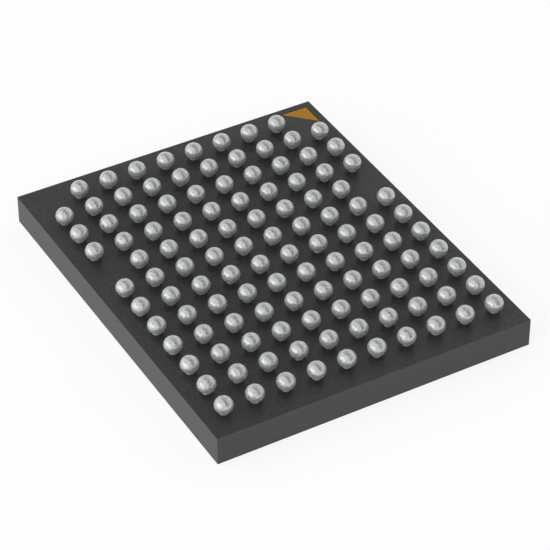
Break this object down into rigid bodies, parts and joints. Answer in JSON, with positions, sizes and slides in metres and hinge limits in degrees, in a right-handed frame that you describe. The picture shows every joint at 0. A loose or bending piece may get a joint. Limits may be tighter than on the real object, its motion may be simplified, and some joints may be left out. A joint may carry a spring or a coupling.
{
  "type": "ball grid array package",
  "caption": "Moulded chip package shown ball side up: solder balls on a square grid over a dark substrate, with a gold triangle that marks one corner.",
  "frame": {"origin": "centre of the footprint on the flat moulded face, which the package lies on", "axes": "+Z out of the ball side, Y along the long side with ball row A at +Y, and ball column 1 at +X"},
  "size_m": [0.0052, 0.0064, 0.0007],
  "materials": {
    "solder": "satin reflowed tin alloy",
    "solder_mask": "near-black, faint sheen",
    "mould": "dark grey filled epoxy, matte",
    "laminate": "dark glass-epoxy laminate, sawn edge",
    "gold": "matte gold plate on copper",
    "copper": "plain copper",
    "silicon": "polished silicon",
    "film": "cured adhesive film"
  },
  "bodies": {
    "root": {"mould_cap": "mould", "die_side_mask": "solder_mask", "substrate_core": "laminate", "silicon_die": "silicon", "die_attach_film": "film", "bond_fingers_right": "gold", "bond_fingers_back": "gold", "bond_fingers_left": "gold", "bond_fingers_front": "gold", "bond_wires_right": "gold", "bond_wires_back": "gold", "bond_wires_left": "gold", "bond_wires_front": "gold", "vias_right": "copper", "vias_back": "copper", "vias_left": "copper", "vias_front": "copper", "ball_side_mask": "solder_mask", "ball_lands": "copper", "corner_mark": "gold", "balls_row_a": "solder", "balls_row_b": "solder", "balls_row_c": "solder", "balls_row_d": "solder", "balls_row_e": "solder", "balls_row_f": "solder", "balls_row_g": "solder", "balls_row_h": "solder", "balls_row_j": "solder", "balls_row_k": "solder", "balls_row_l": "solder", "balls_row_m": "solder"}
  },
  "joints": []
}
